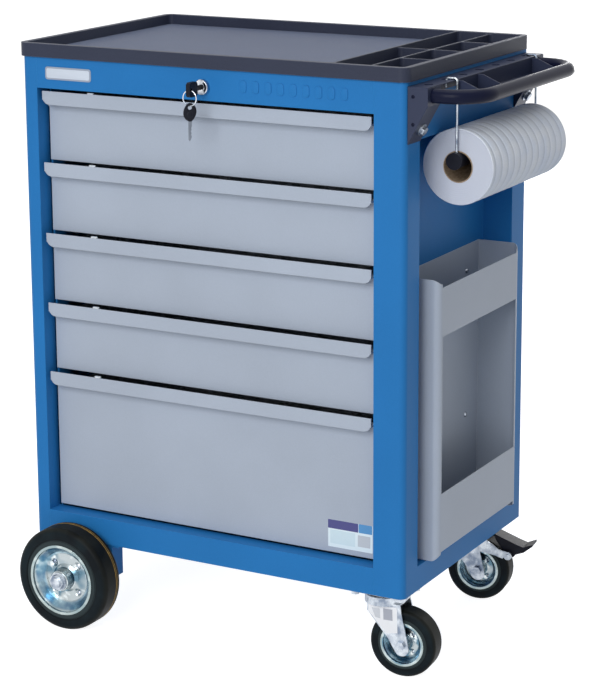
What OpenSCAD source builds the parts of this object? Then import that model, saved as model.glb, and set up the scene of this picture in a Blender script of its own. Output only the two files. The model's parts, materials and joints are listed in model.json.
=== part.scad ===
// Mobile tool cart with five drawers, a compartment worktop, a push handle,
// a holder shelf with a paper roll, and a side rack.
// Frame: +Z up, front towards -Y, origin on the floor under the middle of
// the overall box. Left and right are as seen from the front.

/* [Cabinet] */
// Outside width of the cabinet
body_w = 630; // [540:5:760]
// Outside depth of the cabinet, front to back
body_d = 410; // [380:5:520]
// Height of the cabinet shell, underside to top
body_h = 738; // [650:2:900]
// Thickness of the folded sheet
sheet_t = 1.2; // [1:0.1:2]
// Visible width of the left front post
post_l = 26; // [20:1:40]
// Visible width of the right front post
post_r = 48; // [40:1:70]
// Outer radius of the posts' corners
corner_r = 10; // [5:1:16]
// Depth of the front opening's reveals
reveal_d = 28; // [24:1:28]
// Height of the fascia above the drawers
fascia_h = 46; // [40:1:60]

/* [Drawers] */
// Distance from one shallow drawer to the next
pitch = 107; // [100:1:112]
// Clearance around the drawer fronts at the opening's top and bottom
front_gap = 5; // [3:0.5:8]
// Gap between a pull's top and the front above it
lip_gap = 2; // [1:0.5:4]
// Clearance beside each drawer front
side_gap = 6; // [4:0.5:8]
// How far the drawer fronts lie behind the front plane
front_set = 22; // [18:1:24]
// How far the pulls' faces lie behind the front plane
pull_set = 4; // [2:0.5:8]
// Height of the pulls' faces
pull_h = 20; // [16:1:24]
// Corner radius of the pulls' faces
pull_r = 12; // [6:1:14]
// Height of a shallow drawer box
box_h = 80; // [70:1:84]
// Sheet thickness of the drawer boxes
box_t = 1; // [0.8:0.1:1.5]

/* [Drawer slides] */
// Width of a slide, cabinet side to drawer side
slide_w = 13; // [12.7:0.1:14]
// Height of a slide's outer member
slide_h = 45; // [40:1:46]
// Gap between the slide and the opening's edge
slide_gap = 1; // [0.5:0.1:2]
// Gap between nested slide members
slide_play = 0.4; // [0.3:0.05:0.6]

/* [Worktop tray] */
// Height of the tray's outer band
tray_h = 20; // [16:1:30]
// How far the tray stands over the cabinet
tray_over = 4; // [2:0.5:6]
// Width of the tray's rim
tray_rim = 9; // [6:0.5:12]
// Thickness of the tray's floor
tray_floor = 3; // [2:0.5:5]
// Width of the tray's inner dividers
divider_t = 3; // [2:0.5:4]
// Width of the inner compartment column
col_a = 50; // [40:1:60]
// Width of the outer compartment column
col_b = 53; // [40:1:60]
// Thickness of the mat
mat_t = 1.5; // [1:0.5:3]

/* [Handle and shelf] */
// Reach of the handle's tube beyond the cabinet, to its centre line
handle_reach = 94; // [90:1:130]
// Outside diameter of the tube
tube_d = 20; // [18:1:25]
// Wall of the tube
tube_wall = 1.8; // [1.5:0.1:3]
// Bend radius of the tube, at its centre line
tube_bend = 50; // [40:1:54]
// Height of the tube's centre line below the worktop
tube_drop = 19; // [19:0.5:21]
// Width of the handle brackets, along the cabinet's side
bracket_w = 40; // [36:1:44]
// Reach of the brackets and of the shelf's strip
strip_w = 30; // [28:1:30]
// Number of holes in the strip
strip_holes = 7; // [5:2:9]
// Diameter of the holes in the strip
strip_hole_d = 14; // [10:0.5:14]
// Width of the shelf's pocket
pocket_w = 40; // [34:1:44]
// Depth of the pocket below the strip
pocket_depth = 24; // [16:1:30]

/* [Paper roll] */
// Diameter of the paper roll
roll_d = 109; // [90:1:130]
// Length of the paper roll
roll_len = 264; // [200:1:264]
// Bore of the cardboard core
core_d = 42; // [38:1:50]
// Clearance between the roll and the upper edge of the side recess
roll_gap = 0.5; // [0.5:0.5:6]
// Diameter of the spindle
spindle_d = 22; // [16:1:24]
// Diameter of the hanger wires
wire_d = 4.4; // [4:0.1:5]

/* [Side rack] */
// Distance of the side recess from the front and from the back
recess_margin = 45; // [40:1:60]
// Distance of the side recess from the cabinet's top
recess_drop = 84; // [80:1:100]
// Distance of the side recess from the cabinet's underside
recess_rise = 36; // [30:1:60]
// How far the rack stands out of the side
rack_proud = 20; // [10:1:24]
// Height of the rack
rack_h = 414; // [360:2:440]
// Height of the rack's upper band
band_up = 71; // [50:1:90]
// Height of the rack's lower band
band_low = 87; // [60:1:110]

/* [Running gear] */
// Diameter of the big wheels
wheel_d = 160; // [150:1:200]
// Room between the big wheels' top and the drawers' opening
wheel_room = 8; // [6:1:20]
// Width of the big wheels' tyres
wheel_w = 44; // [36:1:46]
// Distance of the big wheels' axis from the left side
wheel_x = 80; // [80:1:120]
// Gap between the tyre and the cabinet's front or back
wheel_gap = 9; // [6:1:14]
// Diameter of the big wheels' stub axles
axle_d = 20; // [16:1:20]
// Diameter of the casters' wheels
caster_d = 100; // [90:1:125]
// Room above the casters' wheels for their plates and races
caster_room = 28; // [28:1:40]
// Width of the casters' tyres
caster_w = 34; // [28:1:34]
// Distance of the front caster's swivel axis from the right side
caster_x_front = 48; // [48:1:100]
// Distance of the rear caster's swivel axis from the right side
caster_x_rear = 80; // [48:1:100]
// Distance of the swivel axes from the front and the back
caster_y = 40; // [36:1:80]
// Trail of the casters
trail = 32; // [28:1:42]
// Resting angle of the front caster
yaw_front = 5; // [0:1:20]
// Resting angle of the rear caster
yaw_rear = 8; // [0:1:24]

/* [Lock] */
// Distance of the lock from the left side
lock_x = 312; // [200:1:340]
// Height of the lock below the worktop
lock_drop = 26; // [25:0.5:27]
// Crank radius of the lock's shaft
crank_r = 8; // [6:0.5:9]

/* [Hidden] */
$fn = 48;
drawer_n = 5;
run = 0.05;                 // running clearance of a shaft in its hole
seat = 0.3;                 // clearance of loose parts at their seats
trim_gap = 0.1;             // keeps two touching pieces apart

// Overall places
reach_r = handle_reach + tube_d / 2;
xl = -(body_w + reach_r - tray_over) / 2;
xr = xl + body_w;
yf = -body_d / 2;
yb = body_d / 2;
ground_h = caster_d + caster_room;
rail_h = wheel_d + wheel_room - ground_h;
z_top = ground_h + body_h;
z_open_top = z_top - fascia_h;
z_open_bot = ground_h + rail_h;
x_open_l = xl + post_l;
x_open_r = xr - post_r;
back_y = yb - 2 * sheet_t;  // inner face of the back panel
back_flange = 14;

// Drawers
pull_t = 2;
web_drop = 11;              // top of the pull's web below its lip
box_lift = 6;               // box floor above the front's bottom edge
deep_drop = 28;             // top of the deep drawer's box below its lip
catch_up = 60;              // catch above the box floor
catch_reach = 17;
catch_lip = 8;
function lip_top(i) = z_open_top - front_gap - (i - 1) * pitch;
function front_bottom(i) = i < drawer_n ? lip_top(i + 1) + lip_gap : z_open_bot + front_gap;
function box_bottom(i) = front_bottom(i) + box_lift;
function box_height(i) = i < drawer_n ? box_h : lip_top(i) - deep_drop - box_bottom(i);
function slide_z(i) = box_bottom(i) + box_h / 2;
function catch_z(i) = box_bottom(i) + catch_up;
x_front = [x_open_l + side_gap, x_open_r - side_gap];
x_box = [x_open_l + slide_gap + slide_w, x_open_r - slide_gap - slide_w];
y_front = yf + front_set;
y_box = [y_front + sheet_t, yb - 37];
y_slide = [yf + 30, yb - 30];
slide_t = sheet_t;
mid_u = 2;                  // place of the middle member's web
inner_u = 4;                // place of the inner member's open edge

// Lock
x_lock = xl + lock_x;
z_lock = z_top - lock_drop;
plug_r = 6.2;
plug_end = 18;              // plug and barrel behind the front plane
key_t = 2;
key_blade_h = 7;
hole_y = yf - 37;           // hole in the key's bow
ring_r = 10.8;              // ring, to the middle of its wire
ring_wire = 0.9;
hole_r = 2.5;
bow_t = 6;
bar_x = x_lock + 4;
bar_w = 30;
bar_y = [yb - 18, yb - 15];
bar_play = 0.3;
pin_r = 2.5;
tab_y = yb - 34;            // tab that carries the rear end of the lock's shaft
shaft_r = 4;

// Recess and rack
x_pan = x_open_r - slide_gap;
recess_y = [yf + recess_margin, yb - recess_margin];
recess_z = [ground_h + recess_rise, z_top - recess_drop];
rack_in = [25, 15];         // rack's ends inside the recess, front and back
rack_y = [recess_y[0] + rack_in[0], recess_y[1] - rack_in[1]];
rack_z = [recess_z[0] + 2, recess_z[0] + 2 + rack_h];
x_rack = [x_pan + sheet_t, xr + rack_proud];
rack_over = 12;             // end walls above and below the bands
band_top = rack_z[1] - rack_over;
band_base = rack_z[0] + rack_over;

// Handle and shelf
x_tube = xr + handle_reach;
z_tube = z_top - tube_drop;
handle_y = [yf + 24, yb - 24];
shelf_t = 1.5;
z_shelf = z_top - 6;
x_strip = xr + strip_w;
x_pocket = x_strip + pocket_w;
strip_y = [yf + 6, yb - 6];
hole_ends = [yf + 37.5, yb - 40];
hole_pitch = (hole_ends[1] - hole_ends[0]) / (strip_holes - 1);
x_hole = xr + 16;
wire_gap = 0.8;             // between a wire and the strip's edge
function hole_at(i) = hole_ends[0] + (i - 1) * hole_pitch;
wire_x = x_strip + wire_gap + wire_d / 2;
hook_r = (wire_x - x_hole) / 2;
wire_y = [hole_at(2), hole_at(strip_holes)];
pocket_y = [wire_y[0] + 7, strip_y[1] - bracket_w - 1];
divider_y = wire_y[0] + 76;
cheek_t = 2;                // sheet of the handle brackets
z_roll = recess_z[1] - sqrt(pow(roll_d / 2 + roll_gap, 2) - pow(wire_x - xr, 2));
z_spindle = z_roll + (core_d - spindle_d) / 2 - seat;
roll_y = wire_y[0] + 5;
core_t = 1.5;

// Wheels
wheel_r = wheel_d / 2;
y_wheel = yf - wheel_gap - wheel_w / 2;
x_wheel = xl + wheel_x;
hub_out = wheel_w / 2 + 6;  // hub in front of the wheel's middle
hub_in = wheel_w / 2 - 3;   // hub behind it
bracket_y = yf + 3;
bracket_t = 4;

// Casters
caster_r = caster_d / 2;
plate_t = 3;
z_crown = ground_h - 17;    // underside of the race, top of the crown sheet
leg_t = 2.5;
leg_in = caster_w / 2 + 2.5;
pin_d = 12;
caster_axle_d = 8;
caster_rim_share = 0.62;
crown_r = 30;
leg_top = [-20, 30];
pedal_pivot = [trail + 49, caster_r + 29];    // in X and Z, outside the tyre
pivot_r = 3;
pivot_half = leg_in + leg_t + 1;

numbers = [for (i = [1 : drawer_n]) i];

// Colours
blue = [0.16, 0.42, 0.70];
deep_blue = [0.10, 0.32, 0.52];
grey = [0.66, 0.70, 0.76];
dark = [0.16, 0.18, 0.24];
zinc = [0.78, 0.80, 0.82];
chrome = [0.85, 0.86, 0.88];
black = [0.07, 0.07, 0.08];
mat_grey = [0.38, 0.41, 0.46];

// ---- Shared shapes ----

// Box from its lowest to its highest corner on each axis
module block(x, y, z) {
    translate([x[0], y[0], z[0]])
        cube([x[1] - x[0], y[1] - y[0], z[1] - z[0]]);
}

// Rectangle with round corners
module round_rect(x, y, r) {
    translate([x[0] + r, y[0]]) square([x[1] - x[0] - 2 * r, y[1] - y[0]]);
    translate([x[0], y[0] + r]) square([x[1] - x[0], y[1] - y[0] - 2 * r]);
    for (cx = [x[0] + r, x[1] - r], cy = [y[0] + r, y[1] - r])
        translate([cx, cy]) circle(r);
}

// Plate with round corners in plan
module round_block(x, y, z, r) {
    translate([0, 0, z[0]]) linear_extrude(z[1] - z[0]) round_rect(x, y, r);
}

// Puts a shape drawn along Z along +Y instead
module along_y() {
    rotate([-90, 0, 0]) children();
}

// Cylinder along Y
module rod_y(x, z, y, r) {
    translate([x, y[0], z]) along_y() cylinder(h = y[1] - y[0], r = r);
}

// Plate drawn in X and Z, between two places on Y
module plate_xz(y) {
    translate([0, y[1], 0]) rotate([90, 0, 0]) linear_extrude(y[1] - y[0]) children();
}

// Keeps a shape and adds its mirror image at the back
module front_and_back() {
    children();
    mirror([0, 1, 0]) children();
}

// ---- Cabinet shell ----

// Side sheet with its front post and rear flange, the corner at the origin
module side_section(post) {
    difference() {
        intersection() {
            translate([corner_r, corner_r]) circle(corner_r);
            square(corner_r);
        }
        translate([corner_r, corner_r]) circle(corner_r - sheet_t);
    }
    translate([0, corner_r]) square([sheet_t, body_d - corner_r]);
    translate([corner_r, 0]) square([post - corner_r, sheet_t]);
    translate([post - sheet_t, 0]) square([sheet_t, reveal_d]);
    translate([0, body_d - sheet_t]) square([back_flange, sheet_t]);
}

module side_panel_left() {
    color(blue) translate([xl, yf, ground_h]) linear_extrude(body_h) side_section(post_l);
}

module side_panel_right() {
    color(blue) difference() {
        translate([xr, yf, ground_h]) mirror([1, 0, 0])
            linear_extrude(body_h) side_section(post_r);
        block([xr - 2 * sheet_t, xr + 1], recess_y, recess_z);
    }
}

// Pan welded behind the opening in the right side
module recess_pan() {
    flange = 10;
    lip = sheet_t + flange;
    color(deep_blue) difference() {
        union() {
            block([x_pan, xr - sheet_t], [recess_y[0] - sheet_t, recess_y[1] + sheet_t],
                  [recess_z[0] - sheet_t, recess_z[1] + sheet_t]);
            block([xr - 2 * sheet_t, xr - sheet_t], [recess_y[0] - lip, recess_y[1] + lip],
                  [recess_z[0] - lip, recess_z[1] + lip]);
        }
        block([x_pan + sheet_t, xr], recess_y, recess_z);
    }
}

module back_panel() {
    color(blue) block([xl + sheet_t, xr - sheet_t], [back_y, back_y + sheet_t],
                      [ground_h, z_top]);
}

module base_pan() {
    color(blue) block([xl + sheet_t, xr - sheet_t], [yf + reveal_d, back_y],
                      [ground_h, ground_h + sheet_t]);
}

// Deck under the worktop, with the tab that carries the lock's shaft
module top_deck() {
    tab_t = 3;
    color(blue) {
        block([xl + sheet_t, xr - sheet_t], [yf + reveal_d, back_y],
              [z_top - sheet_t, z_top]);
        difference() {
            block([x_lock - 3 * shaft_r, x_lock + 3 * shaft_r], [tab_y, tab_y + tab_t],
                  [z_lock - 9, z_top - sheet_t]);
            rod_y(x_lock, z_lock, [tab_y - 1, tab_y + tab_t + 1], shaft_r + run);
        }
    }
}

module front_fascia() {
    lock_hole = 9;
    color(blue) difference() {
        union() {
            block([x_open_l, x_open_r], [yf, yf + sheet_t], [z_open_top, z_top]);
            block([x_open_l, x_open_r], [yf, yf + reveal_d],
                  [z_open_top, z_open_top + sheet_t]);
            block([x_open_l, x_open_r], [yf, yf + reveal_d], [z_top - sheet_t, z_top]);
        }
        rod_y(x_lock, z_lock, [yf - 1, yf + 3], lock_hole);
    }
}

module front_rail() {
    color(blue) {
        block([x_open_l, x_open_r], [yf, yf + sheet_t], [ground_h, z_open_bot]);
        block([x_open_l, x_open_r], [yf, yf + reveal_d],
              [z_open_bot - sheet_t, z_open_bot]);
        block([x_open_l, x_open_r], [yf, yf + reveal_d], [ground_h, ground_h + sheet_t]);
    }
}

// Channels that carry the left slides
module slide_uprights() {
    width = 30;
    x = [xl + sheet_t, x_open_l + slide_gap];
    z = [ground_h + sheet_t, z_top - sheet_t];
    color(blue) for (y = [y_slide[0] + 4, y_slide[1] - 20 - width])
        difference() {
            block(x, [y, y + width], z);
            block([x[0] - 1, x[1] - sheet_t], [y + sheet_t, y + width - sheet_t],
                  [z[0] - 1, z[1] + 1]);
        }
}

// ---- Drawer slides ----

// Channel section, its web at u0 and open towards u1
module channel(u0, u1, half) {
    difference() {
        translate([u0, -half]) square([u1 - u0, 2 * half]);
        translate([u0 + slide_t, -half + slide_t])
            square([u1 - u0, 2 * (half - slide_t)]);
    }
}

// Left and right slide members of one drawer, from a section in (u, z)
module slide_pair(i, y_end) {
    length = y_end - y_slide[0];
    for (side = [0, 1])
        translate([side == 0 ? x_open_l + slide_gap : x_open_r - slide_gap,
                   y_end, slide_z(i)])
            mirror([side, 0, 0]) rotate([90, 0, 0]) linear_extrude(length) children();
}

mid_half = slide_h / 2 - slide_t - slide_play;
inner_half = mid_half - slide_t - slide_play;

module slide_outer_members() {
    color(zinc) for (i = numbers)
        slide_pair(i, y_slide[1]) channel(0, slide_w - 3, slide_h / 2);
}

module slide_middle(i) {
    color(zinc) slide_pair(i, y_slide[1]) channel(mid_u, slide_w - 3, mid_half);
}

module slide_inner(i) {
    slide_pair(i, y_box[1])
        translate([slide_w + inner_u, 0]) mirror([1, 0])
            channel(inner_u, slide_w, inner_half);
}

// ---- Drawers ----

// Folded front sheet and the grip profile that hooks over it
module drawer_front(i) {
    z_web = lip_top(i) - web_drop;
    fold = 6;
    y_sheet = [y_front, y_front + sheet_t];
    y_fold = [y_front, y_front + sheet_t + fold];
    color(grey) {
        block(x_front, y_sheet, [front_bottom(i), z_web]);
        block(x_front, y_fold, [front_bottom(i), front_bottom(i) + sheet_t]);
        for (x = [x_front[0], x_front[1] - sheet_t])
            block([x, x + sheet_t], y_fold, [front_bottom(i), z_web]);
    }
    color(grey) translate([0, 0, lip_top(i)]) drawer_pull();
}

// Grip profile: face strip, web and rear leg, the face's top edge at z = 0
module drawer_pull() {
    y_face = [yf + pull_set, yf + pull_set + pull_t];
    leg_h = 14;
    y_leg = y_front - trim_gap;
    bead_r = 1.6;
    plate_xz(y_face) difference() {
        union() {
            round_rect(x_front, [-pull_h, 0], pull_r / 2);
            translate([x_front[0], -pull_h / 2])
                square([x_front[1] - x_front[0], pull_h / 2]);
        }
        for (side = [0, 1])
            translate([x_front[side], -pull_h]) mirror([side, 0]) difference() {
                translate([-1, -1]) square(pull_r + 1);
                translate([pull_r, pull_r]) circle(pull_r);
            }
    }
    translate([x_front[0], y_face[0] + bead_r, -bead_r]) rotate([0, 90, 0])
        cylinder(h = x_front[1] - x_front[0], r = bead_r);
    block(x_front, [y_face[0], y_leg], [-web_drop - pull_t, -web_drop]);
    block(x_front, [y_leg - pull_t, y_leg], [-web_drop - leg_h, -web_drop]);
}

// Box with the inner slide members and the catch for the locking bar
module drawer_box(i) {
    z = [box_bottom(i), box_bottom(i) + box_height(i)];
    color(zinc) {
        difference() {
            block(x_box, y_box, z);
            block([x_box[0] + box_t, x_box[1] - box_t],
                  [y_box[0] + box_t, y_box[1] - box_t], [z[0] + box_t, z[1] + 1]);
        }
        slide_inner(i);
        drawer_catch(i);
    }
}

module drawer_catch(i) {
    half = 12;
    t = 2;
    y_end = y_box[1] + catch_reach;
    block([bar_x - half, bar_x + half], [y_box[1], y_end], [catch_z(i) - t, catch_z(i)]);
    block([bar_x - half, bar_x + half], [y_end - 1.5, y_end],
          [catch_z(i) - t, catch_z(i) + catch_lip]);
}

// ---- Central lock ----

// Barrel with its front flange and the nut behind the fascia
module lock_barrel() {
    flange_r = 11;
    body_r = 8.95;
    proud = 8;
    color(chrome) translate([x_lock, yf, z_lock]) along_y() difference() {
        union() {
            translate([0, 0, -proud + 1]) cylinder(h = proud - 1, r = flange_r);
            translate([0, 0, -proud]) cylinder(h = 1, r1 = flange_r - 1, r2 = flange_r);
            cylinder(h = plug_end, r = body_r);
            translate([0, 0, sheet_t]) cylinder(h = 4, r = 13, $fn = 6);
        }
        translate([0, 0, -proud - 1]) cylinder(h = proud + plug_end + 2, r = plug_r + run);
    }
}

module lock_plug() {
    slot = 0.1;
    color(chrome) difference() {
        rod_y(x_lock, z_lock, [yf - 8.5, yf + plug_end], plug_r);
        block([x_lock - key_t / 2 - slot, x_lock + key_t / 2 + slot], [yf - 9, yf + 12],
              [z_lock - key_blade_h / 2 - slot, z_lock + key_blade_h / 2 + slot]);
    }
}

// Key with a moulded bow, its blade in the plug
module lock_key() {
    color(black) {
        difference() {
            translate([x_lock + bow_t / 2, 0, 0]) rotate([0, -90, 0])
                linear_extrude(bow_t)
                    round_rect([z_lock - 10.5, z_lock + 10.5], [yf - 42, yf - 20], 5);
            translate([x_lock - bow_t, hole_y, z_lock]) rotate([0, 90, 0])
                cylinder(h = 2 * bow_t, r = hole_r);
        }
        block([x_lock - key_t / 2, x_lock + key_t / 2], [yf - 20.5, yf + 11.5],
              [z_lock - key_blade_h / 2, z_lock + key_blade_h / 2]);
    }
}

// Shaft from the plug to the back, with its crank pin
module lock_shaft() {
    y_disc = bar_y[0] - 6;
    color(zinc) {
        rod_y(x_lock, z_lock, [yf + plug_end, y_disc], shaft_r);
        rod_y(x_lock, z_lock, [y_disc, y_disc + 4], crank_r + 3);
        rod_y(x_lock + crank_r, z_lock, [y_disc, bar_y[1] + 3], pin_r);
    }
}

// Vertical bar with one hook behind each drawer
module lock_bar() {
    slot_half = pin_r + 2.3;
    hook_half = 10;
    finger_gap = 1;
    arm_up = catch_lip + crank_r + 1.5;
    y_finger = [yb - 30, yb - 27];
    color(zinc) {
        difference() {
            block([bar_x - bar_w / 2, bar_x + bar_w / 2], bar_y,
                  [box_bottom(drawer_n) + 1, z_lock + 12]);
            block([x_lock - 3, x_lock + crank_r + 3], [bar_y[0] - 1, bar_y[1] + 1],
                  [z_lock - slot_half, z_lock + slot_half]);
        }
        for (i = numbers) {
            block([bar_x - hook_half, bar_x + hook_half], [y_finger[0], bar_y[0]],
                  [catch_z(i) + arm_up, catch_z(i) + arm_up + 3]);
            block([bar_x - hook_half, bar_x + hook_half], y_finger,
                  [catch_z(i) + catch_lip + finger_gap, catch_z(i) + arm_up + 3]);
        }
    }
}

// Guide blocks on the back panel
module bar_guides() {
    height = 12;
    wall = 4;
    half = bar_w / 2 + bar_play;
    strap = 1.2;
    levels = [catch_z(1) + 30, catch_z(4) + 40, box_bottom(drawer_n) + 11];
    color(black) for (z = levels) difference() {
        block([bar_x - half - wall, bar_x + half + wall],
              [bar_y[0] - bar_play - strap, back_y], [z, z + height]);
        block([bar_x - half, bar_x + half], [bar_y[0] - bar_play, bar_y[1] + bar_play],
              [z - 1, z + height + 1]);
    }
}

// Height of the ring's inner edge above its middle, over the given width
function inner_edge(width) = sqrt(pow(ring_r - ring_wire, 2) - pow(width / 2, 2));

// Middle of the ring, hung in the hole of the key's bow
z_ring = z_lock - hole_r + seat - inner_edge(bow_t);

module key_ring() {
    color(chrome) translate([x_lock, hole_y, z_ring]) along_y()
        rotate_extrude() translate([ring_r, 0]) circle(ring_wire);
}

// Key that hangs from the ring, turned half towards the front
module spare_key() {
    bow_w = 20;
    bow_h = 27;
    plate_t = 2;
    eye_r = 4;
    turned_lift = 0.6;      // the ring crosses the eye at a slant
    z_eye = z_ring - inner_edge(0) + turned_lift - eye_r;
    color(black) translate([x_lock, hole_y, z_eye]) rotate([0, 0, 42])
        rotate([90, 0, 0]) {
            translate([0, 0, -plate_t / 2]) linear_extrude(plate_t) difference() {
                polygon([[-4, 7], [4, 7], [bow_w / 2, -5], [3.5, 7 - bow_h],
                         [-3.5, 7 - bow_h], [-bow_w / 2, -5]]);
                circle(eye_r);
            }
            translate([-3.5, 7 - bow_h - 29, -0.9]) cube([7, 29.5, 1.8]);
        }
}

// ---- Worktop ----

tray_x = [xl - tray_over, xr + tray_over];
tray_y = [yf - tray_over, yb + tray_over];
tray_in_x = [tray_x[0] + tray_rim, tray_x[1] - tray_rim];
tray_in_y = [tray_y[0] + tray_rim, tray_y[1] - tray_rim];
x_main_end = tray_in_x[1] - col_b - col_a - 2 * divider_t;
tray_inner_z = [z_top + tray_floor, z_top + tray_h + 1];

// Row of equal compartments along the depth
module compartments(x, count, r) {
    length = (tray_in_y[1] - tray_in_y[0] - (count - 1) * divider_t) / count;
    for (k = [0 : count - 1]) {
        y = tray_in_y[0] + k * (length + divider_t);
        round_block(x, [y, y + length], tray_inner_z, r);
    }
}

module top_tray() {
    outer_r = 14;
    inner_r = 6;
    divider_drop = 2;
    color(dark) difference() {
        round_block(tray_x, tray_y, [z_top, z_top + tray_h], outer_r);
        round_block([tray_in_x[0], x_main_end], tray_in_y, tray_inner_z, inner_r);
        compartments([tray_in_x[1] - col_b - divider_t - col_a,
                      tray_in_x[1] - col_b - divider_t], 2, inner_r);
        compartments([tray_in_x[1] - col_b, tray_in_x[1]], 4, inner_r);
        round_block([x_main_end + divider_t, tray_in_x[1]], tray_in_y,
                    [z_top + tray_h - divider_drop, z_top + tray_h + 1], inner_r);
    }
}

module tray_mat() {
    gap = 0.5;
    color(mat_grey)
        round_block([tray_in_x[0] + gap, x_main_end - gap],
                    [tray_in_y[0] + gap, tray_in_y[1] - gap],
                    [z_top + tray_floor, z_top + tray_floor + mat_t], 5.5);
}

// ---- Handle, shelf and paper roll ----

z_bracket = [z_top - 86, z_shelf - shelf_t];
z_knee = z_top - 32;

// Slope of the bracket's web, at a place x beyond the cabinet's side
function web_z(x) = z_bracket[0] + x * (z_knee - z_bracket[0]) / strip_w;

// Folded channel that carries one end of the tube
module handle_bracket() {
    y = [strip_y[0], strip_y[0] + bracket_w];
    shift = cheek_t * norm([strip_w, z_knee - z_bracket[0]]) / (z_knee - z_bracket[0]);
    inner_x = strip_w - cheek_t;
    difference() {
        translate([xr, 0, 0]) plate_xz(y)
            polygon([[0, z_bracket[1]], [strip_w, z_bracket[1]], [strip_w, z_knee],
                     [0, z_bracket[0]]]);
        translate([xr, 0, 0]) plate_xz([y[0] + cheek_t, y[1] - cheek_t])
            polygon([[-1, z_bracket[1] + 1], [inner_x, z_bracket[1] + 1],
                     [inner_x, web_z(inner_x + shift)], [-1, web_z(shift - 1)]]);
        translate([xr + 1, handle_y[0], z_tube]) rotate([0, 90, 0])
            cylinder(h = strip_w, r = tube_d / 2 + run);
    }
}

module handle_brackets() {
    color(dark) front_and_back() handle_bracket();
}

// Bolt through each bracket's sloping web
module bracket_bolts() {
    x = 11;
    tilt = atan2(z_knee - z_bracket[0], strip_w);
    y = strip_y[0] + bracket_w / 2;
    color(zinc) front_and_back()
        translate([xr + x, y, web_z(x)]) rotate([0, 180 - tilt, 0]) {
            cylinder(h = 2, r = 9);
            translate([0, 0, 2]) cylinder(h = 5, r = 7, $fn = 6);
        }
}

module tube_section() {
    difference() {
        circle(tube_d / 2);
        circle(tube_d / 2 - tube_wall);
    }
}

// Half of the bent tube, from the front bracket to the middle
module handle_half() {
    x_bend = x_tube - tube_bend;
    y_bend = handle_y[0] + tube_bend;
    translate([xr + 2, handle_y[0], z_tube]) rotate([0, 90, 0])
        linear_extrude(x_bend - xr - 2) tube_section();
    translate([x_bend, y_bend, z_tube]) rotate([0, 0, -90])
        rotate_extrude(angle = 90) translate([tube_bend, 0]) tube_section();
    translate([x_tube, y_bend, z_tube]) along_y()
        linear_extrude(-y_bend) tube_section();
}

module push_handle() {
    color(dark) front_and_back() handle_half();
}

// Strip with tool holes, and the pocket that hangs from its outer edge
module holder_shelf() {
    z = [z_shelf - shelf_t, z_shelf];
    z_floor = z_shelf - pocket_depth;
    x_in = x_strip - shelf_t;
    flange_h = 18;
    rise = 8;
    color(dark) {
        difference() {
            block([xr, x_strip], strip_y, z);
            for (i = [1 : strip_holes])
                translate([x_hole, hole_at(i), z[0] - 1])
                    cylinder(h = shelf_t + 2, r = strip_hole_d / 2);
        }
        block([xr, xr + shelf_t], [strip_y[0] + bracket_w + 1, strip_y[1] - bracket_w - 1],
              [z_shelf - flange_h, z[0]]);
        block([x_in, x_strip], pocket_y, [z_floor - shelf_t, z[0]]);
        block([x_in, x_pocket], pocket_y, [z_floor - shelf_t, z_floor]);
        block([x_pocket - shelf_t, x_pocket], pocket_y, [z_floor, z_tube - 2]);
        for (y = [pocket_y[0], divider_y, pocket_y[1] - shelf_t])
            plate_xz([y, y + shelf_t])
                polygon([[x_in, z_floor], [x_pocket, z_floor], [x_pocket, z_tube - 2],
                         [x_strip + rise, z[0]], [x_in, z[0]]]);
    }
}

// Wires that hook over the strip's edge and hold the spindle
module roll_wires() {
    z_hook = z_shelf + 2.5;
    color(zinc) for (y = wire_y) {
        translate([x_hole, y, z_hook - 14]) cylinder(h = 14, r = wire_d / 2);
        translate([x_hole + hook_r, y, z_hook]) rotate([90, 0, 0])
            rotate_extrude(angle = 180) translate([hook_r, 0]) circle(wire_d / 2);
        translate([wire_x, y, z_spindle]) cylinder(h = z_hook - z_spindle, r = wire_d / 2);
    }
}

module roll_spindle() {
    cap = 5;
    y = [wire_y[0] - 4, wire_y[1] + 4];
    color(black) difference() {
        union() {
            rod_y(wire_x, z_spindle, y, spindle_d / 2);
            for (end = [y[0] - cap, y[1]])
                rod_y(wire_x, z_spindle, [end, end + cap], spindle_d / 2 + 1);
        }
        for (hole = wire_y)
            translate([wire_x, hole, z_spindle]) cylinder(h = spindle_d, r = wire_d / 2 + run);
    }
}

module roll_core() {
    color([0.62, 0.52, 0.40]) difference() {
        rod_y(wire_x, z_roll, [roll_y, roll_y + roll_len], core_d / 2 + core_t);
        rod_y(wire_x, z_roll, [roll_y - 1, roll_y + roll_len + 1], core_d / 2);
    }
}

module paper_roll() {
    color([0.86, 0.87, 0.89]) difference() {
        rod_y(wire_x, z_roll, [roll_y, roll_y + roll_len], roll_d / 2);
        rod_y(wire_x, z_roll, [roll_y - 1, roll_y + roll_len + 1], core_d / 2 + core_t);
    }
}

// ---- Side rack ----

// Plan of the rack, drawn inwards by a distance
module rack_plan(inset) {
    r = 10;
    x = [x_rack[0] + inset, x_rack[1] - inset];
    y = [rack_y[0] + inset, rack_y[1] - inset];
    translate([x[0], y[0]]) square([x[1] - x[0] - (r - inset), y[1] - y[0]]);
    translate([x[0], rack_y[0] + r])
        square([x[1] - x[0], rack_y[1] - rack_y[0] - 2 * r]);
    for (cy = [rack_y[0] + r, rack_y[1] - r])
        translate([x_rack[1] - r, cy]) circle(r - inset);
}

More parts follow.
